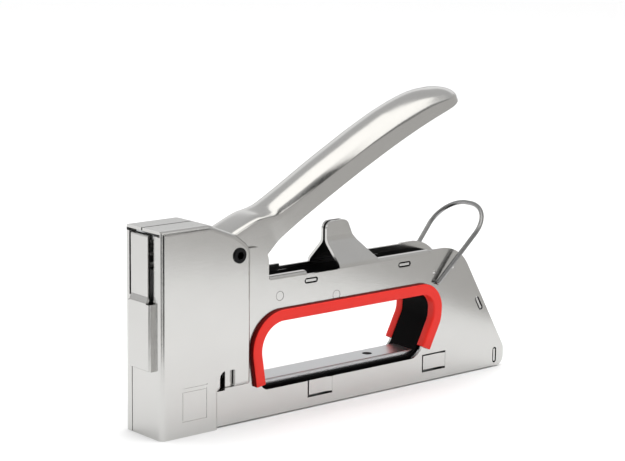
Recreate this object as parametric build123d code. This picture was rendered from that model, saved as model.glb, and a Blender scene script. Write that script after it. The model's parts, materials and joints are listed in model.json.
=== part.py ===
from build123d import *
import math
import os

# Hand staple gun (squeeze tacker). Millimetres. X runs along the tool from the nose front (X = 0) to the
# tail, Y across it (the tool's left side is -Y, the mid plane is Y = 0), Z up from the nose's bottom face.

# ---- driving dimensions: pressed steel shells
SHEET = 1.2                  # shell sheet thickness
NOSE_HALF = 12.25            # half width over the nose
BODY_HALF = 10.5             # half width over the body behind the nose
NOSE_TOP = 84.0
NOSE_REAR = 45.0             # joggle line between nose and body
NOSE_REAR_LOW = 28.5         # the same line beside the magazine
JOGGLE_Z = 16.0              # height where the joggle line steps forward
BODY_FLOOR = 0.6             # body's lower edge, just above the nose's foot
BODY_TOP = 59.0
TAIL_X = 192.6
ROLL_R = 1.6                 # outer radius of the rolled-in top edge
BEND_R = 2.1                 # outer radius of the nose's bends
TOP_SEAM_Y = 0.5             # seam between the shells on the nose's top
TOP_SEAM = 0.8               # its width
FRONT_SEAM_Y = 7.45          # seam between the shells down the nose's front
FRONT_SLIT_Y = 9.0           # right shell's edge beside the strip above the driver's bulge
SEAM = 0.45                  # gap in the front seam

# ---- driving dimensions: openings, moving parts
GRIP_BAND = 4.9              # width of the red trim round the hand opening
GRIP_WEB = 1.4               # trim thickness inside the opening
GRIP_PROUD = 2.0             # trim height above the shell
LINER_HALF = 8.2
CHANNEL_TOP = 14.9
CHANNEL_HALF = 6.5
STAPLE_HALF = 5.3            # half the crown of a 10.6 mm fine wire staple
PIVOT_X, PIVOT_Z = 38.6, 70.2
SLEEVE_R = 3.5
BAIL_X, BAIL_Z = 149.1, 44.4
BAIL_ANGLE = 46.0            # bail above the horizontal at rest
BAIL_REACH = 42.5
WIRE_R = 1.0
LEVER_ANGLE = 27.0           # handle above the horizontal at rest
ROOT_HALF = 8.8              # half width of the lever inside the nose
HANDLE_HALF = 10.2           # half width of the lever in the palm
HANDLE_START = 21.0          # where the lever widens, along the handle from the pivot
LEVER_SHEET = 1.2
LIFT_ARM = 28.5              # lifter tip's distance from the pivot
LIFT_ANGLE = 17.0            # lifter tip below the pivot at rest
TIP_R = 2.2
RIVET_X, RIVET_Z, RIVET_R = PIVOT_X + 6.6, PIVOT_Z - 0.6, 1.5
LUG_GAP = 0.5
HAMMER_X0 = 2.45
HAMMER_Z0 = 29.4
SPRING_X = 8.45
ROD_Z, ROD_R = 12.15, 0.8
CATCH_X, CATCH_Y = 173.0, 3.7
HUMP_X0, HUMP_X1 = 93.3, 114.6
HUMP_TOP = 76.2
RUN = 0.06                   # radial running clearance

inner_body = BODY_HALF - SHEET
inner_nose = NOSE_HALF - SHEET


def outline(*corners, plane=Plane.XZ):
    """Closed outline from (across, up, radius) corners, each rounded by a true arc."""
    count = len(corners)
    spans, arcs = [], []
    for i, (px, pz, radius) in enumerate(corners):
        here = Vector(px, pz)
        back = (Vector(*corners[i - 1][:2]) - here).normalized()
        ahead = (Vector(*corners[(i + 1) % count][:2]) - here).normalized()
        half = math.radians(back.get_angle(ahead)) / 2
        cut = radius / math.tan(half)
        spans.append((here + back * cut, here + ahead * cut))
        if radius:
            middle = here + (back + ahead).normalized() * (radius / math.sin(half) - radius)
            arcs.append(ThreePointArc(spans[-1][0], middle, spans[-1][1]))
    lines = [Line(spans[i - 1][1], spans[i][0]) for i in range(count)
             if (spans[i][0] - spans[i - 1][1]).length > 1e-6]
    return make_face(lines + arcs)


def slab(face, y0, y1):
    """Solid between two Y planes under an XZ outline."""
    return extrude(Plane.XZ.offset(-y0) * face, -(y1 - y0))


def block(x0, x1, y0, y1, z0, z1):
    """Box from its limits."""
    return Pos((x0 + x1) / 2, (y0 + y1) / 2, (z0 + z1) / 2) * Box(x1 - x0, y1 - y0, z1 - z0)


def bar_y(x, z, radius, y0, y1):
    """Cylinder along Y."""
    return Pos(x, (y0 + y1) / 2, z) * Rot(90, 0, 0) * Cylinder(radius, y1 - y0)


def bar_x(x0, x1, y, z, radius):
    """Cylinder along X."""
    return Pos((x0 + x1) / 2, y, z) * Rot(0, 90, 0) * Cylinder(radius, x1 - x0)


def bar_z(x, y, radius, z0, z1):
    """Cylinder along Z."""
    return Pos(x, y, (z0 + z1) / 2) * Cylinder(radius, z1 - z0)


def run_x(face, x0, x1):
    """Solid between two X planes under a YZ outline."""
    return extrude(Plane.YZ.offset(x0) * face, x1 - x0)


def save(solid, name):
    export_step(solid, f"parts/{name}.step")


# ---- shared outlines
def hand_opening(grow=0.0):
    """Clear hand opening between the trims, grown outwards by an offset."""
    clear = outline((53.0, 13.2, 2.5), (48.9, 40.0, 11.5), (147.2, 40.0, 7.0), (146.6, 29.0, 8.0),
                    (138.6, 13.2, 6.0))
    return offset(clear, grow) if grow else clear


def nose_outline(inset=0.0):
    """Side view of the nose pressing, with its rear rim moved inwards by inset."""
    rear, low, step = NOSE_REAR - inset, NOSE_REAR_LOW - inset, JOGGLE_Z + inset
    return outline((0, 0, 0), (low, 0, 0), (low, step, 1.0), (rear, step, 1.0),
                   (rear, 73.0 - inset, 7.0), (37.0 - inset / 2, 79.0 - inset, 7.0),
                   (24.5, NOSE_TOP, 6.0), (0, NOSE_TOP, 0))


def body_outline():
    """Side view of the flat body wall behind the nose."""
    flat_top = BODY_TOP - ROLL_R
    slope = math.tan(math.radians(59.5))
    knee_x = 163.2
    knee_low = BODY_TOP - (TAIL_X - knee_x) * slope
    return outline((27.0, BODY_FLOOR, 0), (TAIL_X, BODY_FLOOR, 4.0), (TAIL_X, knee_low, 5.0),
                   (knee_x, BODY_TOP, 18.0), (146.0, BODY_TOP, 0), (145.0, flat_top, 0),
                   (55.1, flat_top, 1.5), (55.1, 72.0, 6.6), (43.6, 72.0, 0), (43.6, 15.2, 0), (27.0, 15.2, 0))


# ---- shells
TAB_SLOTS = ((77.7, 54.7, 0), (130.2, 54.7, 0), (176.2, 31.1, 59.5), (187.0, 5.6, 90))
LANCES = ((76.4, 90.0), (141.9, 156.0))
PINS = ((61.0, 50.3), (91.6, 46.6))


def body_wall():
    """Left body wall with its rolled edge, hand opening, tab slots, lances, front lug and detent bumps."""
    wall = slab(body_outline(), -BODY_HALF, -inner_body)
    roll = outline((-BODY_HALF, BODY_TOP - ROLL_R - 0.2, 0), (-BODY_HALF, BODY_TOP, ROLL_R),
                   (-BODY_HALF + 2.8, BODY_TOP, 0), (-BODY_HALF + 2.8, BODY_TOP - SHEET, 0),
                   (-inner_body, BODY_TOP - SHEET, ROLL_R - SHEET), (-inner_body, BODY_TOP - ROLL_R - 0.2, 0))
    for x0, x1 in ((55.6, 75.3), (HUMP_X1 - 0.5, 145.2)):
        wall += run_x(roll, x0, x1)
    wall -= slab(hand_opening(GRIP_WEB), -12, -8)
    for x, z, turn in TAB_SLOTS:
        wall -= slab(Pos(x, z) * Rot(0, 0, -turn) * SlotOverall(7.2, 2.4), -12, -8)
    for x0, x1 in LANCES:
        wall -= block(x0, x1, -12, -8, 4.6, 12.6)
        tongue = Plane.XY.offset(5.4) * make_face(Polyline(
            (x1 + 0.5, -BODY_HALF), (x1 - 2.5, -BODY_HALF + 0.9), (x0 + 1.4, -inner_body - 0.4),
            (x0 + 1.4, -inner_body + 0.8), (x1 - 2.5, -inner_body + 0.9), (x1 + 0.5, -inner_body),
            close=True))
        wall += extrude(tongue, 6.2)
    wall += block(32.8, 44.0, -BODY_HALF, -inner_body, 14.0, 27.0)
    for x, z in PINS:
        wall -= bar_y(x, z, 2.05, -12, -8)
    for x, z in ((148.1, 49.0), (159.3, 50.2)):
        wall += Pos(x, -BODY_HALF + 1.15, z) * Sphere(1.5) & block(x - 2, x + 2, -12, -10, z - 2, z + 2)
    return wall - bar_y(BAIL_X, BAIL_Z, WIRE_R + 0.08, -12, -8)


def hump():
    """Leaning tab with an upright crest that stops the lever."""
    crest = 1.85
    lean_z = 67.8
    profile = outline((-BODY_HALF, 55.9, 0), (-BODY_HALF, 58.9, 3.6), (-crest, lean_z, 5.0),
                      (-crest, HUMP_TOP, 0), (-crest + SHEET, HUMP_TOP, 0), (-crest + SHEET, lean_z - 0.5, 3.8),
                      (-inner_body, 58.4, 2.4), (-inner_body, 55.9, 0))
    side = outline((HUMP_X0, 55.0, 0), (HUMP_X0, HUMP_TOP, 3.4), (104.6, HUMP_TOP, 3.6),
                   (107.6, 69.5, 6.0), (117.5, 56.0, 0))
    return run_x(profile, HUMP_X0, HUMP_X1 + 2.4) & slab(side, -12, 0)


def nose_wall(front_edge, top_edge):
    """Left nose pressing: side wall, front and top flanges up to their seams, joggle rim and foot."""
    nose = slab(nose_outline(), -NOSE_HALF, max(front_edge, top_edge))
    corner = [e for e in nose.edges().filter_by(Axis.Z) if abs(e.center().Y + NOSE_HALF) < 0.1
              and e.center().X < 0.1]
    crown = [e for e in nose.edges().filter_by(Axis.X) if abs(e.center().Y + NOSE_HALF) < 0.1
             and e.center().Z > NOSE_TOP - 0.1]
    nose = fillet(corner + crown, BEND_R)
    rim = slab(nose_outline(SHEET), -inner_nose, 20) & block(SHEET, 60, -20, 20, -1, NOSE_TOP - SHEET)
    nose -= rim
    nose -= block(SHEET, 60, -inner_nose, 20, 72.0, NOSE_TOP - SHEET)
    nose -= block(4, 60, -inner_body, 20, -1, NOSE_TOP - SHEET - 0.5)
    nose -= block(-1, SHEET + 0.05, -inner_nose, 20, NOSE_TOP - 2.3, NOSE_TOP - SHEET)
    nose -= block(-1, 2.5, front_edge, 20, -1, NOSE_TOP - SHEET)
    nose -= block(-1, 60, top_edge, 20, NOSE_TOP - SHEET - 0.5, NOSE_TOP + 1)
    nose += block(4.0, 27.5, -inner_nose - 0.2, -8.4, 0, SHEET)
    nose -= bar_y(PIVOT_X, PIVOT_Z, 2.5, -14, -8)
    window = outline((28.9, 16.4, 0.6), (28.9, 23.8, 3.0), (36.6, 23.8, 0.6), (36.6, 16.4, 0.6))
    return nose - slab(window, -14, -8)


def front_press():
    """Bulge over the driver's rivets and the strip above it, pressed out of the left shell's front."""
    proud, strip = 2.5, 1.6
    bulge = block(-proud, 0.6, -7.35, 7.35, 27.5, 56.0)
    bulge = fillet(bulge.faces().sort_by(Axis.X)[0].edges(), 1.2)
    bulge -= block(-proud + SHEET, 2, -6.15, 6.15, 28.7, 60)
    profile = outline((-proud, 52, 0), (-proud, 55.0, 1.0), (-strip, 57.5, 1.0), (-strip, NOSE_TOP - 2.3, 0.5),
                      (-strip + SHEET, NOSE_TOP - 2.3, 0), (-strip + SHEET, 57.2, 1.0),
                      (-proud + SHEET, 54.7, 1.0), (-proud + SHEET, 52, 0))
    bulge -= block(-4, 2, -8, 8, 54.6, 60)
    return bulge + slab(profile, -5.6, 5.6)


def left_side_shell():
    nose = nose_wall(FRONT_SEAM_Y - SEAM / 2, TOP_SEAM_Y - TOP_SEAM / 2)
    nose -= block(-1, 1.25, -6.15, 6.2, 28.7, 58)
    nose -= block(-1, 1.25, -7.4, 20, 56.0, 90) - block(-1, 1.25, -20, 20, NOSE_TOP - SHEET, 90)
    frame = block(10.0, 22.4, -13, -NOSE_HALF + 0.2, 6.2, 18.8) - block(10.6, 21.8, -13, -12, 6.8, 18.2)
    frame += block(10.6, 22.6, -13, -NOSE_HALF + 0.2, 19.8, 20.4)
    return body_wall() + hump() + nose - frame + front_press()


def right_side_shell():
    other = nose_wall(-FRONT_SEAM_Y - SEAM / 2, -TOP_SEAM_Y - TOP_SEAM / 2)
    other -= block(-1, 1.25, -FRONT_SLIT_Y, 0, 56.0, NOSE_TOP - SHEET)
    return mirror(body_wall() + hump() + other, Plane.XZ)


# ---- fixed pieces between the shells
def spine_strip():
    """Bent strip that closes the top, the sloping tail and the magazine's way out, with tabs in the slots."""
    slope = math.tan(math.radians(59.5))
    thick = 1.0
    top, tail, start, knee = 55.9, 187.5, 56.5, 162.2
    lean = thick / math.sin(math.radians(59.5))
    inner_knee = knee + thick / slope - lean
    low = 2.2
    strip = slab(outline(
        (start, top, 0), (knee, top, 15.0), (tail, top - (tail - knee) * slope, 6.0), (tail, low, 0),
        (tail - thick, low, 0), (tail - thick, top - thick - (tail - thick - inner_knee) * slope, 5.0),
        (inner_knee, top - thick, 14.0), (start, top - thick, 0)), -inner_body + 0.1, inner_body - 0.1)
    strip -= block(tail - 3, tail + 3, -8.0, 8.0, 0, 15.4)
    for x, z, turn in TAB_SLOTS:
        strip += Pos(x, 0, z) * Rot(0, turn, 0) * (Box(5.6, 2 * BODY_HALF - 0.3, thick)
                                                   - Box(7.0, 16.4, 2))
    return strip


def opening_liner():
    """Black band that lines the hand opening between the shells, split under the magazine channel."""
    band = slab(hand_opening(1.9), -LINER_HALF, LINER_HALF) - slab(hand_opening(0.25), -9, 9)
    return band - block(40.0, 160.0, -CHANNEL_HALF - 0.2, CHANNEL_HALF + 0.2, 10, CHANNEL_TOP + 0.1)


def grip_trim(side):
    """Red trim on one shell: a proud face band and a web into the opening, open along the bottom."""
    face = slab(hand_opening(GRIP_BAND), -BODY_HALF - GRIP_PROUD, -BODY_HALF)
    top_edges = [e for e in face.edges() if abs(e.center().Y + BODY_HALF + GRIP_PROUD) < 0.01]
    face = fillet(top_edges, 0.9)
    web = slab(hand_opening(GRIP_WEB - 0.05), -BODY_HALF - 0.5, -LINER_HALF - 0.05)
    trim = face + web - slab(hand_opening(), -14, -6)
    low_cut = outline((40, 5, 0), (40, 14.7, 0), (100, 14.7, 0), (134.0, 20.0, 0), (150.0, 12.6, 0), (150, 5, 0))
    trim -= slab(low_cut, -14, -6)
    return trim if side < 0 else mirror(trim, Plane.XZ)


def magazine_channel():
    """Fixed inverted channel that guides the staples, with ears held by the lances."""
    wall = 0.9
    channel = block(2.8, 182.6, -CHANNEL_HALF, CHANNEL_HALF, 1.5, CHANNEL_TOP)
    edges = [e for e in channel.edges().filter_by(Axis.X) if e.center().Z > CHANNEL_TOP - 0.1]
    channel = fillet(edges, 0.8)
    channel -= block(0, 190, -CHANNEL_HALF + wall, CHANNEL_HALF - wall, 0, CHANNEL_TOP - wall)
    channel -= bar_z(118.8, 0, 2.15, 10, 20) + bar_z(CATCH_X, CATCH_Y, 1.4, 10, 20)
    for x in (84.0, 149.0):
        for side in (-1, 1):
            channel += block(x - 4, x + 4, *sorted((side * (CHANNEL_HALF - 0.5), side * 9.2)), 2.6, 3.6)
    return channel


def nose_guide():
    """Hardened block behind the nose front that guides the driver."""
    guide = block(2.8, 15.0, -10.8, 10.8, 15.2, 26.0)
    return guide - block(0, 5.0, -STAPLE_HALF, STAPLE_HALF, 20, 30)


def bumper():
    """Rubber buffer under the hammer."""
    rubber = block(3.0, 14.4, -8.5, 8.5, 26.0, 29.3)
    return fillet(rubber.edges().filter_by(Axis.Z), 2.0)


def spring_seat():
    """Cup under the nose top that holds the main spring."""
    return block(2.0, 15.0, -7.0, 7.0, 81.5, 82.7) + bar_z(8.4, 0, 3.2, 78.5, 81.5)


def pivot_screw():
    """Pivot screw with a hex socket in its low round head."""
    head = bar_y(PIVOT_X, PIVOT_Z, 3.2, -NOSE_HALF - 0.7, -NOSE_HALF)
    head = chamfer(head.edges().filter_by(GeomType.CIRCLE).sort_by(Axis.Y)[0], 0.3)
    shank = bar_y(PIVOT_X, PIVOT_Z, 2.44, -NOSE_HALF, 9.0)
    socket = extrude(Plane.XZ.offset(NOSE_HALF + 1) * Pos(PIVOT_X, PIVOT_Z) * RegularPolygon(1.75, 6), -2.6)
    return head + shank - socket


def pivot_nut():
    """Nut that closes the pivot on the right shell."""
    head = bar_y(PIVOT_X, PIVOT_Z, 3.2, NOSE_HALF, NOSE_HALF + 0.7)
    head = chamfer(head.edges().filter_by(GeomType.CIRCLE).sort_by(Axis.Y)[-1], 0.3)
    return head + bar_y(PIVOT_X, PIVOT_Z, 2.44, 9.0, NOSE_HALF) - bar_y(PIVOT_X, PIVOT_Z, 1.4, 11.5, 14)


def pivot_sleeve():
    """Steel sleeve between the shells that the lever turns on."""
    return bar_y(PIVOT_X, PIVOT_Z, SLEEVE_R, -inner_nose, inner_nose) \
        - bar_y(PIVOT_X, PIVOT_Z, 2.5, -12, 12)


def shell_pins():
    """Two cross pins riveted flush in both shells, with shoulders that set the gap."""
    pins = [bar_y(x, z, 1.85, -BODY_HALF + 0.05, BODY_HALF - 0.05) + bar_y(x, z, 2.7, -inner_body, inner_body)
            for x, z in PINS]
    return Compound(children=pins)


# ---- lever
def lever_plane(tilt=LEVER_ANGLE):
    """Plane at the pivot with its local X along the handle and its normal square to it."""
    turn = math.radians(tilt)
    along = (math.cos(turn), 0, math.sin(turn))
    return Plane(origin=(PIVOT_X, 0, PIVOT_Z), x_dir=along, z_dir=(-along[2], 0, along[0]))


def along_lever(*points):
    """Local (distance, height, radius) points of the lever as XZ corners."""
    turn = math.radians(LEVER_ANGLE)
    c, s = math.cos(turn), math.sin(turn)
    return [(PIVOT_X + d * c - h * s, PIVOT_Z + d * s + h * c, r) for d, h, r in points]


def handle_side(inset):
    """Side view of the handle; inset moves the top and tip inwards and opens the underside."""
    drop = 3.0 * inset
    return outline(*along_lever(
        (HANDLE_START + inset, -7.4 - drop, 0), (HANDLE_START + inset, 5.6 - inset, 0),
        (106.5, 8.4 - inset, 55.0), (132.3 - inset, -1.6 - inset, 12.0), (137.9 - inset, -9.6 - inset, 0),
        (136.5 - inset, -9.9 - drop, 0), (115.8, -7.6 - drop, 60.0), (80.0, -5.4 - drop, 60.0),
        (36.0, -5.5 - drop, 20.0)))


def root_side(inset):
    """Side view of the lever's root round the pivot, inset like the handle."""
    drop = 6.0 * inset
    return outline(*along_lever(
        (-2.0 - drop, -12.0 - drop, 3.0), (-11.5 - drop, -1.0, 4.0), (-3.5, 8.0 - inset, 6.0),
        (11.5, 8.2 - inset, 6.0), (18.5, 6.0 - inset, 6.0), (24.0, 5.6 - inset, 0), (24.0, -6.9 - drop, 0),
        (13.5, -9.8 - drop, 6.0), (5.0, -12.5 - drop, 5.0)))


def lever_block(inset):
    """Handle and root as one block, moved inwards by inset for the hollow, which opens downwards."""
    half = HANDLE_HALF - inset
    tip = 138.0 - inset
    handle = slab(handle_side(inset), -half, half)
    local = lever_plane().to_local_coords
    tops = [e for e in handle.edges() if abs(abs(e.center().Y) - half) < 0.01 and local(e.center()).Z > -3.0
            and local(e.center()).X > 25]
    handle = fillet(tops, 4.5 - inset)
    face = make_face(Polyline((HANDLE_START + inset, -half), (tip, -half), (tip, half),
                              (HANDLE_START + inset, half), close=True))
    face = fillet([v for v in face.vertices() if v.X > tip - 0.1], half - 0.6)
    handle &= extrude(lever_plane() * face, 40, both=True)
    return handle + slab(root_side(inset), inset - ROOT_HALF, ROOT_HALF - inset)


def lever():
    """Chromed handle pressing, open underneath, narrow at the root and wide in the palm."""
    solid = lever_block(0) - lever_block(LEVER_SHEET) - bar_y(PIVOT_X, PIVOT_Z, SLEEVE_R + RUN, -20, 20)
    return solid - bar_y(RIVET_X, RIVET_Z, RIVET_R, -20, 20)


def prong_tip():
    """Centre of the lifter's rounded tips, and its distance from the pivot."""
    turn = math.radians(LIFT_ANGLE)
    return PIVOT_X - LIFT_ARM * math.cos(turn), PIVOT_Z - LIFT_ARM * math.sin(turn)


def lifter_fork():
    """Steel fork inside the lever's root whose two prongs reach under the hammer's lugs."""
    tip_x, tip_z = prong_tip()
    prong = slab(outline((tip_x, tip_z - TIP_R, 0), (tip_x, tip_z + TIP_R, 0), (PIVOT_X - 14, PIVOT_Z - 1.6, 8.0),
                         (PIVOT_X - 2, PIVOT_Z + 5.6, 3.0), (PIVOT_X + 10.0, PIVOT_Z + 8.6, 2.0),
                         (PIVOT_X + 14.0, PIVOT_Z + 3.0, 2.0), (PIVOT_X + 3.0, PIVOT_Z - 6.5, 4.0),
                         (PIVOT_X - 8, PIVOT_Z - 5.6, 4.0)), -7.5, -6.3) + bar_y(tip_x, tip_z, TIP_R, -7.5, -6.3)
    bridge = slab(outline((PIVOT_X + 1.5, PIVOT_Z + 6.6, 0), (PIVOT_X + 1.4, PIVOT_Z + 7.7, 0),
                          (PIVOT_X + 8.4, PIVOT_Z + 8.5, 0), (PIVOT_X + 8.5, PIVOT_Z + 7.3, 0)), -7.0, 7.0)
    fork = prong + mirror(prong, Plane.XZ) + bridge
    return fork - bar_y(PIVOT_X, PIVOT_Z, SLEEVE_R + RUN, -20, 20) - bar_y(RIVET_X, RIVET_Z, RIVET_R, -20, 20)


def lifter_rivets():
    """Two rivets that hold the fork between the lever's cheeks."""
    rivets = [bar_y(RIVET_X, RIVET_Z, RIVET_R, *sorted((side * 5.7, side * (ROOT_HALF + 0.1))))
              for side in (-1, 1)]
    return Compound(children=rivets)


def coil(radius, wire, pitch, turns):
    """Round wire coil that rises from the XY plane about Z."""
    path = Helix(pitch, pitch * turns, radius)
    return sweep(Plane(path @ 0, z_dir=path % 0) * Circle(wire / 2), path=path, is_frenet=True)


def lever_return_spring():
    """Torsion spring on the pivot sleeve, one leg under the fork's bridge and one on the spine strip."""
    wire, radius, pitch = 1.1, 4.5, 1.3
    start, leave = 120.0, 247.2
    turns = 5 + (leave - start) / 360
    width = pitch * turns
    spring = Pos(PIVOT_X, width / 2, PIVOT_Z) * Rot(90, 0, 0) * Rot(0, 0, start) * coil(radius, wire, pitch, turns)
    for angle, side, length in ((start, 1, 4.3), (leave, -1, 24.6)):
        turn = math.radians(angle)
        foot = Pos(PIVOT_X + radius * math.cos(turn), side * width / 2, PIVOT_Z + radius * math.sin(turn))
        lean = 90 - (angle + (-90 if side > 0 else 90))
        spring += foot * Rot(0, lean, 0) * Cylinder(wire / 2, length,
                                                    align=(Align.CENTER, Align.CENTER, Align.MIN))
    return spring


# ---- hammer
def hammer():
    """Hammer block with a pocket for the main spring and a lug on each side for the lifter."""
    lug_z = prong_tip()[1] + TIP_R + LUG_GAP
    block_part = block(HAMMER_X0, HAMMER_X0 + 12.0, -5.9, 5.9, HAMMER_Z0, lug_z + 3.0)
    for side in (-1, 1):
        block_part += block(8.0, 12.2, *sorted((side * 5.5, side * 8.2)), lug_z, lug_z + 3.0)
    block_part -= bar_z(SPRING_X, 0, 5.1, HAMMER_Z0 + 4.5, 90)
    for y in (-2.6, 2.6):
        block_part -= bar_x(0, 8.0, y, HAMMER_Z0 + 2.3, 1.2)
    return block_part


def driver_blade():
    """Hardened blade that drives the staple."""
    blade = block(HAMMER_X0 - 1.0, HAMMER_X0, -STAPLE_HALF + 0.1, STAPLE_HALF - 0.1, 1.0, 48.0)
    for y in (-2.6, 2.6):
        blade -= bar_x(0, 8.0, y, HAMMER_Z0 + 2.3, 1.2)
    return blade


def blade_rivets():
    """Two rivets through the blade and the hammer's foot."""
    rivets = [bar_x(HAMMER_X0 - 1.0, 7.9, y, HAMMER_Z0 + 2.3, 1.2)
              + bar_x(HAMMER_X0 - 1.6, HAMMER_X0 - 1.0, y, HAMMER_Z0 + 2.3, 1.9) for y in (-2.6, 2.6)]
    return Compound(children=rivets)


def main_spring():
    """Strong coil spring between the seat under the nose top and the hammer's pocket."""
    low = HAMMER_Z0 + 4.5
    wire, turns = 1.4, 9
    pitch = (81.5 - low - wire - 0.1) / turns
    return Pos(SPRING_X, 0, low + wire / 2 + 0.05) * coil(4.05, wire, pitch, turns)


# ---- magazine
def magazine_rail():
    """Sliding rail that carries the staples and draws out of the tail."""
    rail = block(3.0, 183.0, -4.2, 4.2, 1.8, 10.2)
    return rail - block(2.0, 184.0, -3.4, 3.4, 1.0, 9.4)


def magazine_end_cap():
    """Pull at the rail's rear end, ribbed for the fingers."""
    cap = block(183.0, 191.4, -7.4, 7.4, 1.4, 14.0)
    cap = fillet([e for e in cap.edges().filter_by(Axis.Y) if e.center().X > 190], 2.0)
    for z in (4.4, 7.0, 9.6):
        cap -= block(190.8, 192.0, -6.0, 6.0, z, z + 1.0)
    return cap


def pusher_rod():
    """Guide rod of the pusher spring, held in the end cap."""
    return bar_x(66.0, 183.0, 0, ROD_Z, ROD_R)


def magazine_catch():
    """Leaf on the end cap whose dimple clicks into the channel's hole."""
    leaf = block(CATCH_X - 2.5, 183.0, CATCH_Y - 1.5, CATCH_Y + 1.5, 13.1, 13.5)
    return leaf + bar_z(CATCH_X, CATCH_Y, 1.0, 13.5, 14.6)


def staple_strip():
    """Strip of glued fine wire staples sitting over the rail."""
    strip = block(3.2, 58.0, -STAPLE_HALF, STAPLE_HALF, 3.0, 10.95)
    return strip - block(2, 60, -STAPLE_HALF + 0.7, STAPLE_HALF - 0.7, 1, 10.25)


def pusher():
    """Block that rides over the rail and presses the staples forward."""
    foot = block(58.2, 72.0, -STAPLE_HALF, STAPLE_HALF, 3.0, 13.6)
    foot -= block(50, 80, -4.3, 4.3, 1, 10.3)
    return foot - bar_x(50, 80, 0, ROD_Z, ROD_R + RUN)


def pusher_spring():
    """Long light spring round the rod, from the pusher to the end cap."""
    wire, start, end = 0.5, 72.0, 182.8
    turns = 34
    return Pos(start + wire / 2, 0, ROD_Z) * Rot(0, 90, 0) * coil(1.35, wire, (end - start - wire) / turns, turns)


# ---- lock bail
def lock_bail():
    """Round wire loop hinged in both shells that swings over the handle's tip."""
    leg_y = BODY_HALF + 0.45 + WIRE_R
    bow_y = 16.0
    path = FilletPolyline((0, -leg_y), (BAIL_REACH, -bow_y), (BAIL_REACH, bow_y), (0, leg_y), radius=13.5)
    turn = math.radians(BAIL_ANGLE)
    along = (math.cos(turn), 0, math.sin(turn))
    tilt = Plane(origin=(BAIL_X, 0, BAIL_Z), x_dir=along, z_dir=(-along[2], 0, along[0]))
    route = tilt * path
    wire = sweep(Plane(route @ 0, z_dir=route % 0) * Circle(WIRE_R), path=route)
    for side in (-1, 1):
        wire += bar_y(BAIL_X, BAIL_Z, WIRE_R, *sorted((side * (inner_body - 1.2), side * leg_y)))
        wire += Pos(BAIL_X, side * leg_y, BAIL_Z) * Sphere(WIRE_R)
    return wire


PIECES = {
    "left_side_shell": left_side_shell, "right_side_shell": right_side_shell, "spine_strip": spine_strip,
    "opening_liner": opening_liner, "left_grip_trim": lambda: grip_trim(-1),
    "right_grip_trim": lambda: grip_trim(1), "magazine_channel": magazine_channel, "nose_guide": nose_guide,
    "bumper": bumper, "spring_seat": spring_seat, "pivot_screw": pivot_screw, "pivot_nut": pivot_nut,
    "pivot_sleeve": pivot_sleeve, "shell_pins": shell_pins, "lever": lever, "lifter_fork": lifter_fork,
    "lifter_rivets": lifter_rivets, "lever_return_spring": lever_return_spring, "hammer": hammer,
    "driver_blade": driver_blade, "blade_rivets": blade_rivets, "main_spring": main_spring,
    "magazine_rail": magazine_rail, "magazine_end_cap": magazine_end_cap, "pusher_rod": pusher_rod,
    "magazine_catch": magazine_catch, "staple_strip": staple_strip, "pusher": pusher,
    "pusher_spring": pusher_spring, "lock_bail": lock_bail,
}

os.makedirs("parts", exist_ok=True)
for name, make in PIECES.items():
    save(make(), name)
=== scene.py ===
import bisect
import json
import math

import bmesh
import bpy
from mathutils import Matrix, Vector


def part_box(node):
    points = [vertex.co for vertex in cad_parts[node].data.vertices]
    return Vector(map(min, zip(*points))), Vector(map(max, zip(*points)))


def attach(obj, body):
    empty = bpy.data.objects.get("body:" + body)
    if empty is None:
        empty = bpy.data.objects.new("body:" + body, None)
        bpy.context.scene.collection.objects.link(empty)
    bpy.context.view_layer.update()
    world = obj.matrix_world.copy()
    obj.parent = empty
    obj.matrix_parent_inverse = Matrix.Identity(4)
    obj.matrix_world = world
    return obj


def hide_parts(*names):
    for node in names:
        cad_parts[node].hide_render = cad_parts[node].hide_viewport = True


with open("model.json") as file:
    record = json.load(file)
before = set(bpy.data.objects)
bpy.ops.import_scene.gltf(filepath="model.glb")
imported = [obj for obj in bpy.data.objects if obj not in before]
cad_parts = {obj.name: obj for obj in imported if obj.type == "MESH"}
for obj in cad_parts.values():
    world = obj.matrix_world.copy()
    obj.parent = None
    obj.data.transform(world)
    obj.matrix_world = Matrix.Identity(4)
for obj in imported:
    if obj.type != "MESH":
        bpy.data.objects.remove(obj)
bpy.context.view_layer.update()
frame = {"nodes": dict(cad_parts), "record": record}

# Hand staple gun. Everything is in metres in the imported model's frame: X runs from the nose front to the
# tail, Y across the tool, Z up.
MM = 0.001
nodes = frame["nodes"]


# ---------------------------------------------------------------- camera, lights, stage
CAMERA_TARGET = Vector((0.0869, 0.0, 0.0729))
CAMERA_DISTANCE = 0.8214
CAMERA_TURNS = -40.33, 10.94, 0.71      # azimuth, elevation and roll in degrees
OVERHEAD_Z = 0.95


def make_camera():
    """Long lens that looks down a little at the tool's left front."""
    azimuth, elevation, roll = (math.radians(turn) for turn in CAMERA_TURNS)
    back = Vector((math.sin(azimuth) * math.cos(elevation), -math.cos(azimuth) * math.cos(elevation),
                   math.sin(elevation)))
    right = Vector((0, 0, 1)).cross(back).normalized()
    up = back.cross(right)
    rolled_right = right * math.cos(roll) + up * math.sin(roll)
    rolled_up = up * math.cos(roll) - right * math.sin(roll)
    data = bpy.data.cameras.new("camera")
    data.lens = 113.0
    data.clip_start, data.clip_end = 0.01, 100.0
    camera = bpy.data.objects.new("camera", data)
    turn = Matrix((rolled_right, rolled_up, back)).transposed().to_4x4()
    camera.matrix_world = Matrix.Translation(CAMERA_TARGET + back * CAMERA_DISTANCE) @ turn
    bpy.context.scene.collection.objects.link(camera)
    bpy.context.scene.camera = camera


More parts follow.
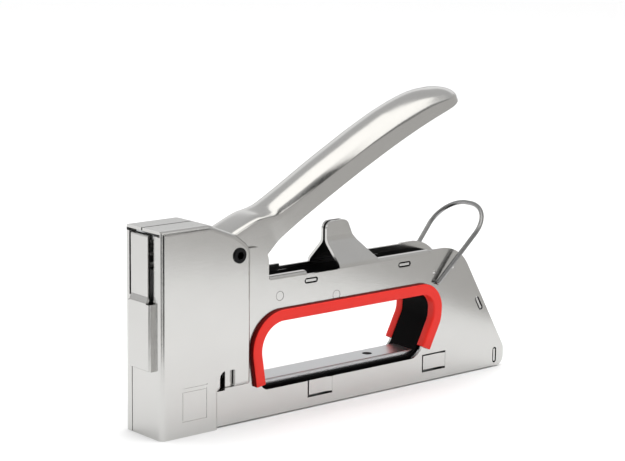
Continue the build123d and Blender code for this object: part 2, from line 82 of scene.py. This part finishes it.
def softbox(name, place, aim, size, power, in_reflections=True):
    data = bpy.data.lights.new(name, "AREA")
    data.shape = "RECTANGLE"
    data.size, data.size_y = size
    data.energy = power
    light = bpy.data.objects.new(name, data)
    light.location = place
    light.rotation_mode = "QUATERNION"
    light.rotation_quaternion = (Vector(aim) - Vector(place)).to_track_quat("-Z", "Y")
    light.visible_glossy = in_reflections
    bpy.context.scene.collection.objects.link(light)


def plain_object(name, verts, faces, paint):
    mesh = bpy.data.meshes.new(name)
    mesh.from_pydata(verts, [], faces)
    mesh.materials.append(paint)
    thing = bpy.data.objects.new(name, mesh)
    bpy.context.scene.collection.objects.link(thing)
    return thing


def make_card(name, verts, faces, level):
    """Slightly warm card that only the gloss of the metal sees."""
    face = bpy.data.materials.new(name)
    face.use_nodes = True
    tree = face.node_tree
    tree.nodes.clear()
    glow = tree.nodes.new("ShaderNodeEmission")
    glow.inputs["Color"].default_value = (level, 0.985 * level, 0.96 * level, 1)
    end = tree.nodes.new("ShaderNodeOutputMaterial")
    tree.links.new(glow.outputs[0], end.inputs["Surface"])
    card = plain_object(name, verts, faces, face)
    card.visible_camera = card.visible_shadow = card.visible_diffuse = False


def upright_card(name, line, tall, level):
    """Card that stands on the floor along a line of (x, y) points."""
    verts = [(x, y, z) for x, y in line for z in (0.0, tall)]
    make_card(name, verts, [(2 * i, 2 * i + 2, 2 * i + 3, 2 * i + 1) for i in range(len(line) - 1)], level)


def make_floor():
    paint = new_material("floor_paint")
    shader = paint.node_tree.nodes["Principled BSDF"]
    shader.inputs["Base Color"].default_value = (0.86, 0.86, 0.86, 1)
    shader.inputs["Roughness"].default_value = 0.8
    radius, sides = 14, 96
    ring = [(radius * math.cos(math.tau * i / sides), radius * math.sin(math.tau * i / sides), 0.0)
            for i in range(sides)]
    plain_object("floor", ring, [list(range(sides))], paint)


def make_cards():
    """What the chrome reflects: a grey card beside it, dark ones in front, a bright sheet over it, and a small
    dark card that draws the streak under the handle's highlight."""
    side = [(0.245, 0.02), (0.262, -0.22), (0.16, -0.34), (0.02, -0.36)]
    upright_card("side_card", side, 0.17, 0.64)
    middle_y, steps = -0.012, 12
    low, high = (0.13, 0.022, 0.30), (0.23, 0.20, 0.03)      # radius round the nose, height, level
    for name, (radius, tall, level), start, end in (("left_low_card", low, -162, -137),
                                                    ("left_card", high, -162, -137),
                                                    ("front_low_card", low, -122, -80),
                                                    ("front_card", high, -122, -80)):
        turns = [math.radians(start + (end - start) * i / steps) for i in range(steps + 1)]
        arc = [(radius * math.cos(t), middle_y + radius * math.sin(t)) for t in turns]
        upright_card(name, arc, tall, level)

    sheet = [(-0.25, 0.62), (0.13, 0.55), (0.30, 0.28), (0.40, -0.05), (0.62, -0.25), (0.72, -0.7),
             (1.05, -1.2), (1.15, -2.4), (0.70, -2.4), (0.50, -1.6), (0.26, -0.78), (0.15, -0.46),
             (-0.25, -0.30)]
    make_card("overhead_card", [(x, y, OVERHEAD_Z) for x, y in sheet], [list(range(len(sheet)))], 1.85)
    streak = [(0.098, 0.18), (0.089, 0.27), (0.080, 0.38), (0.093, 0.38), (0.105, 0.30), (0.118, 0.24),
              (0.130, 0.205), (0.139, 0.182), (0.146, 0.166), (0.147, 0.138), (0.126, 0.136), (0.107, 0.15)]
    streak_y = -0.13
    make_card("streak_card", [(x, streak_y, z) for x, z in streak], [list(range(len(streak)))], 0.01)


def make_world():
    """Backdrop that is bright behind the tool, dimmer low down and high up, and grey overhead."""
    world = bpy.data.worlds.new("studio")
    bpy.context.scene.world = world
    world.use_nodes = True
    tree = world.node_tree
    where = tree.nodes.new("ShaderNodeTexCoord")
    split = tree.nodes.new("ShaderNodeSeparateXYZ")
    tree.links.new(where.outputs["Generated"], split.inputs[0])
    behind = map_range(tree, split.outputs["Y"], -0.35, 0.10, 0.11, 1.10)
    above = map_range(tree, split.outputs["Z"], 0.20, 0.48, 0.0, 0.66)
    low_dim = map_range(tree, split.outputs["Z"], 0.18, 0.24, 0.56, 1.0)
    high_dim = map_range(tree, split.outputs["Z"], 0.46, 0.58, 1.0, 0.35)
    backdrop = join_values(tree, "MULTIPLY", behind, join_values(tree, "MULTIPLY", low_dim, high_dim))
    tree.links.new(join_values(tree, "MAXIMUM", backdrop, above), tree.nodes["Background"].inputs["Color"])


def make_stage():
    """Pale floor, cards for the chrome to reflect, pale backdrop and soft light."""
    make_floor()
    make_cards()
    make_world()
    softbox("wash", (0.9, 1.0, 3.2), (0.9, 1.0, 0.0), (6.0, 6.0), 110.0, in_reflections=False)
    softbox("overhead", (0.15, -0.38, OVERHEAD_Z), (0.10, -0.38, 0.0), (1.5, 0.95), 6.8, in_reflections=False)


def map_range(tree, source, low, high, out_low, out_high):
    node = tree.nodes.new("ShaderNodeMapRange")
    node.interpolation_type = "SMOOTHSTEP"
    for name, value in (("From Min", low), ("From Max", high), ("To Min", out_low), ("To Max", out_high)):
        node.inputs[name].default_value = value
    tree.links.new(source, node.inputs["Value"])
    return node.outputs["Result"]


def join_values(tree, operation, first, second):
    node = tree.nodes.new("ShaderNodeMath")
    node.operation = operation
    tree.links.new(first, node.inputs[0])
    tree.links.new(second, node.inputs[1])
    return node.outputs[0]


# ---------------------------------------------------------------- materials
def new_material(name):
    material = bpy.data.materials.new(name)
    material.use_nodes = True
    return material


def plate_metal(name, colour, rough, scratch=0.05):
    """Plated steel: faint tone changes, drawn scratches and a little unevenness in the gloss."""
    material = new_material(name)
    tree = material.node_tree
    shader = tree.nodes["Principled BSDF"]
    shader.inputs["Metallic"].default_value = 1.0
    where = tree.nodes.new("ShaderNodeTexCoord")
    cloud = tree.nodes.new("ShaderNodeTexNoise")
    cloud.inputs["Scale"].default_value = 90.0
    cloud.inputs["Detail"].default_value = 3.0
    tree.links.new(where.outputs["Object"], cloud.inputs["Vector"])
    tone = tree.nodes.new("ShaderNodeMix")
    tone.data_type = "RGBA"
    tone.inputs[6].default_value = (*[c * 0.94 for c in colour], 1)
    tone.inputs[7].default_value = (*colour, 1)
    tree.links.new(cloud.outputs["Fac"], tone.inputs[0])
    tree.links.new(tone.outputs[2], shader.inputs["Base Color"])
    grain = tree.nodes.new("ShaderNodeTexNoise")
    grain.inputs["Scale"].default_value = 1400.0
    grain.inputs["Detail"].default_value = 4.0
    tree.links.new(where.outputs["Object"], grain.inputs["Vector"])
    span = tree.nodes.new("ShaderNodeMapRange")
    span.inputs["To Min"].default_value = rough - scratch
    span.inputs["To Max"].default_value = rough + scratch
    tree.links.new(grain.outputs["Fac"], span.inputs["Value"])
    tree.links.new(span.outputs[0], shader.inputs["Roughness"])
    bump = tree.nodes.new("ShaderNodeBump")
    bump.inputs["Strength"].default_value = 0.04
    bump.inputs["Distance"].default_value = 0.0002
    tree.links.new(grain.outputs["Fac"], bump.inputs["Height"])
    tree.links.new(bump.outputs[0], shader.inputs["Normal"])
    return material


def moulded(name, colour, rough, sheen_level=0.5, grain_size=0.0004, strength=0.15):
    """Moulded plastic or rubber: fine spark grain and a slight change of tone."""
    material = new_material(name)
    tree = material.node_tree
    shader = tree.nodes["Principled BSDF"]
    shader.inputs["Specular IOR Level"].default_value = sheen_level
    where = tree.nodes.new("ShaderNodeTexCoord")
    cloud = tree.nodes.new("ShaderNodeTexNoise")
    cloud.inputs["Scale"].default_value = 60.0
    tree.links.new(where.outputs["Object"], cloud.inputs["Vector"])
    tone = tree.nodes.new("ShaderNodeMix")
    tone.data_type = "RGBA"
    tone.inputs[6].default_value = (*[c * 0.9 for c in colour], 1)
    tone.inputs[7].default_value = (*colour, 1)
    tree.links.new(cloud.outputs["Fac"], tone.inputs[0])
    tree.links.new(tone.outputs[2], shader.inputs["Base Color"])
    grain = tree.nodes.new("ShaderNodeTexNoise")
    grain.inputs["Scale"].default_value = 1.0 / grain_size
    tree.links.new(where.outputs["Object"], grain.inputs["Vector"])
    span = tree.nodes.new("ShaderNodeMapRange")
    span.inputs["To Min"].default_value = rough - 0.06
    span.inputs["To Max"].default_value = rough + 0.06
    tree.links.new(grain.outputs["Fac"], span.inputs["Value"])
    tree.links.new(span.outputs[0], shader.inputs["Roughness"])
    bump = tree.nodes.new("ShaderNodeBump")
    bump.inputs["Strength"].default_value = strength
    bump.inputs["Distance"].default_value = 0.0001
    tree.links.new(grain.outputs["Fac"], bump.inputs["Height"])
    tree.links.new(bump.outputs[0], shader.inputs["Normal"])
    return material


MATERIALS = {
    "chrome_sheet": plate_metal("chrome_plate", (0.56, 0.556, 0.543), 0.18),
    "black_oxide": plate_metal("black_oxide_steel", (0.018, 0.018, 0.019), 0.38),
    "black_plastic": moulded("black_moulding", (0.002, 0.002, 0.0022), 0.55, 0.04),
    "red_plastic": moulded("red_moulding", (0.84, 0.022, 0.012), 0.5, 0.3),
    # Dark red for the trims' outer side walls: painted shade for the shade those walls fall in.
    "red_edge": moulded("red_moulding_painted_shade", (0.17, 0.003, 0.002), 0.6, 0.1),
    "zinc_steel": plate_metal("zinc_plate", (0.55, 0.56, 0.57), 0.32),
    "hardened_steel": plate_metal("hardened_plate", (0.33, 0.33, 0.335), 0.34),
    "spring_steel": plate_metal("spring_wire", (0.14, 0.137, 0.13), 0.34),
    "staple_wire": plate_metal("staple_wire_zinc", (0.62, 0.62, 0.62), 0.25),
    "bail_wire": plate_metal("bail_wire_plate", (0.30, 0.30, 0.30), 0.22),
    "black_rubber": moulded("rubber_black", (0.02, 0.02, 0.02), 0.7),
}


# ---------------------------------------------------------------- pieces
def smooth_line(*points):
    """Monotone curve through (place, value) points, as a function of place."""
    xs, ys = zip(*points)
    rises = [(y1 - y0) / (x1 - x0) for x0, y0, x1, y1 in zip(xs, ys, xs[1:], ys[1:])]
    inner = [0.0 if a * b <= 0 else 2 * a * b / (a + b) for a, b in zip(rises, rises[1:])]
    slopes = [rises[0]] + inner + [rises[-1]]

    def value(x):
        x = min(max(x, xs[0]), xs[-1])
        i = min(bisect.bisect_right(xs, x), len(xs) - 1) - 1
        span = xs[i + 1] - xs[i]
        t = (x - xs[i]) / span
        return (ys[i] * (1 + 2 * t) * (1 - t) ** 2 + slopes[i] * span * t * (1 - t) ** 2
                + ys[i + 1] * t * t * (3 - 2 * t) - slopes[i + 1] * span * t * t * (1 - t))
    return value


def add_piece(name, verts, faces, slot, body, replaces, smooth_angle=40.0, modifiers=()):
    """A mesh piece with its modifiers applied, which stands for CAD nodes and rides on a body."""
    mesh = bpy.data.meshes.new(name)
    mesh.from_pydata(verts, [], faces)
    shape = bmesh.new()
    shape.from_mesh(mesh)
    bmesh.ops.remove_doubles(shape, verts=shape.verts, dist=0.00001)
    bmesh.ops.recalc_face_normals(shape, faces=shape.faces)
    shape.to_mesh(mesh)
    shape.free()
    piece = bpy.data.objects.new(name, mesh)
    bpy.context.scene.collection.objects.link(piece)
    for kind, settings in modifiers:
        modifier = piece.modifiers.new(kind.lower(), kind)
        for key, value in settings.items():
            setattr(modifier, key, value)
    if modifiers:
        graph = bpy.context.evaluated_depsgraph_get()
        piece.data = bpy.data.meshes.new_from_object(piece.evaluated_get(graph))
        piece.modifiers.clear()
    piece.data.materials.clear()
    piece.data.materials.append(MATERIALS[slot])
    for polygon in piece.data.polygons:
        polygon.use_smooth = True
    piece.data.set_sharp_from_angle(angle=math.radians(smooth_angle))
    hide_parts(*replaces)
    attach(piece, body)
    return piece


def grid_faces(rows, columns, skip=lambda i, j: False):
    return [(i * columns + j, (i + 1) * columns + j, (i + 1) * columns + j + 1, i * columns + j + 1)
            for i in range(rows - 1) for j in range(columns - 1) if not skip(i, j)]


def bar_cutter(name, centre, radius, half):
    """A cylinder along Y that cuts a hole."""
    mesh = bpy.data.meshes.new(name)
    shape = bmesh.new()
    turn = Matrix.Translation(centre) @ Matrix.Rotation(math.pi / 2, 4, "X")
    bmesh.ops.create_cone(shape, cap_ends=True, segments=48, radius1=radius, radius2=radius, depth=2 * half,
                          matrix=turn)
    shape.to_mesh(mesh)
    shape.free()
    cutter = bpy.data.objects.new(name, mesh)
    bpy.context.scene.collection.objects.link(cutter)
    return cutter


# Lever, in its own lines: distance along the handle from the pivot, and height square to it, in mm.
JOINTS = {j["name"]: j for j in frame["record"]["behaviour"]["joints"]}
PIVOT = Vector(JOINTS["lever_pivot"]["pos_m"])
LEVER_TILT = math.radians(27.0)
SHEET = 1.2
SLEEVE_HOLE_R, RIVET_HOLE_R = 3.56, 1.5
ROOT_END = -11.6
TIP_START, TIP_END = 127.4, 137.9
CROWN = smooth_line((ROOT_END, -0.6), (-10.6, 1.2), (-8.4, 3.8), (-5.5, 6.2), (-3, 7.3), (1, 7.7), (6, 7.6),
                    (10.5, 7.3), (14.7, 6.9), (18, 6.4), (20.8, 5.8), (25, 5.6), (30, 5.7), (36, 5.9),
                    (48, 6.35), (58.6, 6.75), (72, 7.0), (83.5, 7.15), (96, 7.0), (104, 6.45), (111, 5.6),
                    (117, 4.5), (122, 3.1), (126.5, 1.3), (131, -0.8), (134.5, -3.2), (136.8, -5.4),
                    (137.7, -7.6), (TIP_END, -9.2))
LOWER = smooth_line((ROOT_END, -1.6), (-10.4, -4.0), (-7.5, -7.8), (-4.5, -10.8), (-2, -11.9), (1, -12.3),
                    (5, -12.0), (9, -11.2), (13.8, -10.0), (18.7, -8.6), (22, -7.7), (28.3, -7.0),
                    (34.6, -6.5), (45, -6.0), (60, -5.6), (73, -5.45), (84, -5.6), (93.7, -5.9), (105, -6.5),
                    (115.8, -7.4), (123, -8.2), (128, -8.7), (132.5, -9.1), (136, -9.5), (TIP_END, -9.7))
# Half width, rise of the arched top above the flanges, and how square the arch is.
HALF = smooth_line((-12, 8.8), (19.5, 8.8), (23, 8.9), (28, 9.1), (40, 9.45), (60, 9.9), (85, 10.2),
                   (TIP_START, 10.2))
ARCH = smooth_line((-12, 2.0), (-2, 2.4), (8, 3.0), (20, 3.0), (24, 4.4), (28, 5.6), (40, 6.2), (60, 6.6),
                   (80, 7.0), (96, 8.0), (112, 8.8), (140, 8.8))
SQUARE = smooth_line((-12, 4.5), (18, 4.5), (22, 3.0), (26, 2.3), (40, 2.1), (60, 2.05), (90, 2.0),
                     (140, 2.0))


def lever_point(d, y, h):
    c, s = math.cos(LEVER_TILT), math.sin(LEVER_TILT)
    return PIVOT + Vector((d * c - h * s, y, d * s + h * c)) * MM


def lever_section(d, narrow, flange, arch):
    """Open channel across the lever: a flange up, the arched top, and the other flange down."""
    crown, lower, half = CROWN(d), LOWER(d), HALF(d) * narrow
    steepest = 0.66      # of the whole height that the arch may take
    rise = min(ARCH(d), steepest * (crown - lower))
    power = 2 / SQUARE(d)
    section = [(-half, lower + (crown - rise - lower) * i / flange) for i in range(flange)]
    for i in range(arch + 1):
        turn = math.pi * i / arch
        across = -math.copysign(abs(math.cos(turn)) ** power, math.cos(turn))
        section.append((half * across, crown - rise + rise * math.sin(turn) ** power))
    return section + [(half, lower + (crown - rise - lower) * i / flange) for i in reversed(range(flange))]


def make_lever():
    """One pressing, open below: a narrow flat-topped root between the nose walls, and a rounded palm with a
    spoon tip."""
    stations = [(ROOT_END + i, 1.0) for i in range(40)] + [(29.0 + 2.4 * i, 1.0) for i in range(37)]
    stations += [(117.0 + 1.3 * i, 1.0) for i in range(8)]
    tip_steps = 18
    for i in range(tip_steps + 1):
        turn = math.pi / 2 * i / tip_steps
        stations.append((TIP_START + (TIP_END - TIP_START) * math.sin(turn), math.cos(turn)))
    flange, arch = 6, 30
    verts = [lever_point(d, y, h) for d, narrow in stations for y, h in lever_section(d, narrow, flange, arch)]
    columns = 2 * flange + arch + 1
    open_front = 8      # stations over which the root has flanges only
    faces = grid_faces(len(stations), columns, lambda i, j: i < open_front and flange <= j < flange + arch)
    rivet = Vector(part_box("lifter_rivets")[0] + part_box("lifter_rivets")[1]) / 2
    reach = 0.02
    cutters = [bar_cutter("pivot_cutter", PIVOT, SLEEVE_HOLE_R * MM, reach),
               bar_cutter("rivet_cutter", rivet, RIVET_HOLE_R * MM, reach)]
    add_piece("lever_pressing", verts, faces, "chrome_sheet", "lever", ["lever"], modifiers=[
        ("SOLIDIFY", {"thickness": SHEET * MM, "offset": -1.0, "use_even_offset": True}),
        ("BOOLEAN", {"operation": "DIFFERENCE", "object": cutters[0]}),
        ("BOOLEAN", {"operation": "DIFFERENCE", "object": cutters[1]})])
    for cutter in cutters:
        bpy.data.objects.remove(cutter)


# Hand opening's edge, front bottom to rear bottom, as X, Z and corner radius in millimetres.
OPENING = ((52.75, 14.75, 0), (48.9, 40.0, 11.5), (147.2, 40.0, 7.0), (146.6, 29.0, 8.0), (140.55, 17.05, 0))


def rounded_route(corners, step):
    """Points and directions along a line of (across, up, radius) corners with true arcs."""
    points = [Vector(c[:2]) for c in corners]
    route = []

    def straight(start, end):
        count = max(1, round((end - start).length / (4 * step)))
        for i in range(count + 1):
            route.append((start.lerp(end, i / count), (end - start).normalized()))

    here = points[0]
    for before, corner, after, radius in zip(points, points[1:], points[2:], [c[2] for c in corners[1:]]):
        into, out = (corner - before).normalized(), (after - corner).normalized()
        turn = into.angle(out)
        cut = radius * math.tan(turn / 2)
        straight(here, corner - into * cut)
        side = math.copysign(1.0, into.x * out.y - into.y * out.x)
        centre = corner - into * cut + side * radius * Vector((-into.y, into.x))
        count = max(3, math.ceil(radius * turn / step))
        for i in range(1, count):
            spin = Matrix.Rotation(side * turn * i / count, 2)
            route.append((centre + spin @ (corner - into * cut - centre), (spin @ into).normalized()))
        here = corner + out * cut
    straight(here, points[-1])
    return route


def trim_profile(face_y, web_y):
    """Section of the trim, as (distance out from the opening's edge, Y), both in millimetres."""
    wall_y, wide, web = face_y - 2.0, 4.9, 1.35
    inner_round, outer_round, crown, steps = 0.75, 0.6, 0.05, 6
    turns = [math.pi / 2 * i / steps for i in range(steps + 1)]
    profile = [(0.0, web_y), (0.0, face_y - 1.6)]
    profile += [(inner_round - inner_round * math.cos(t), face_y - 0.8 + inner_round * math.sin(t))
                for t in turns]
    profile += [(wide * t, face_y - crown + crown * math.sin(math.pi * t)) for t in (0.3, 0.5, 0.7)]
    profile += [(wide - outer_round + outer_round * math.sin(t), face_y - 0.65 + outer_round * math.cos(t))
                for t in turns]
    return profile + [(wide, wall_y), (web, wall_y), (web, web_y)]


def make_grip_trim(name, node, side):
    """Red moulding round the hand opening: a proud crowned face and a web that reaches into the opening. Its
    outer side walls are dark red, which is painted shade.
    """
    low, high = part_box(node)
    profile = trim_profile(max(abs(low.y), abs(high.y)) / MM, min(abs(low.y), abs(high.y)) / MM)
    route = rounded_route(OPENING, 0.9)
    verts = []
    for place, ahead in route:
        out = Vector((-ahead.y, ahead.x))
        for g, y in profile:
            at = place + out * g
            verts.append(Vector((at.x, side * y, at.y)) * MM)
    columns = len(profile)
    faces = [(i * columns + j, (i + 1) * columns + j, (i + 1) * columns + (j + 1) % columns,
              i * columns + (j + 1) % columns) for i in range(len(route) - 1) for j in range(columns)]
    faces += [list(range(columns)), [(len(route) - 1) * columns + j for j in reversed(range(columns))]]
    trim = add_piece(name, verts, faces, "red_plastic", "root", [node], smooth_angle=50.0, modifiers=[
        ("BEVEL", {"width": 0.00022, "segments": 2, "limit_method": "ANGLE", "angle_limit": math.radians(55)})])
    # Outward-facing side walls of the trim take the dark red: painted shade, not a colour of the moulding.
    trim.data.materials.append(MATERIALS["red_edge"])
    middle = (low + high) / 2
    for polygon in trim.data.polygons:
        faces_across = abs(polygon.normal.y) < 0.5
        if faces_across and polygon.normal.dot(polygon.center - middle) > 0:
            polygon.material_index = 1


def strip_painted_shade():
    """Strip steel in near black, which is painted shade for the spine's shadow and dark reflections; beyond a
    distance from the mid plane the sheared tab ends show bright metal.
    """
    black_to, bare_from = 0.0101, 0.0103
    # Near-black base colour and dimmed specular tint: painted shade, standing in for the strip's shadow and the
    # dark surroundings it reflects.
    material = plate_metal("strip_with_painted_shade", (0.03, 0.03, 0.032), 0.35)
    tree = material.node_tree
    shader = tree.nodes["Principled BSDF"]
    shader.inputs["Specular Tint"].default_value = (0.25, 0.25, 0.25, 1)
    black = shader.inputs["Base Color"].links[0].from_socket
    where = tree.nodes.new("ShaderNodeTexCoord")
    split = tree.nodes.new("ShaderNodeSeparateXYZ")
    tree.links.new(where.outputs["Object"], split.inputs[0])
    outwards = tree.nodes.new("ShaderNodeMath")
    outwards.operation = "ABSOLUTE"
    tree.links.new(split.outputs["Y"], outwards.inputs[0])
    bare = tree.nodes.new("ShaderNodeMix")
    bare.data_type = "RGBA"
    bare.inputs[7].default_value = (0.62, 0.62, 0.61, 1)
    tree.links.new(map_range(tree, outwards.outputs[0], black_to, bare_from, 0.0, 1.0), bare.inputs[0])
    tree.links.new(black, bare.inputs[6])
    tree.links.new(bare.outputs[2], shader.inputs["Base Color"])
    return material


def dress_cad_nodes():
    for node in nodes.values():
        for place in node.material_slots:
            if place.material and place.material.name.split(".")[0] in MATERIALS:
                place.material = MATERIALS[place.material.name.split(".")[0]]
    # The spine strip is given painted shade: near-black steel with bright tab ends.
    nodes["spine_strip"].material_slots[0].material = strip_painted_shade()


make_camera()
make_stage()
dress_cad_nodes()
make_lever()
make_grip_trim("left_trim_moulding", "left_grip_trim", -1)
make_grip_trim("right_trim_moulding", "right_grip_trim", 1)
bpy.context.scene.view_settings.view_transform = "Standard"
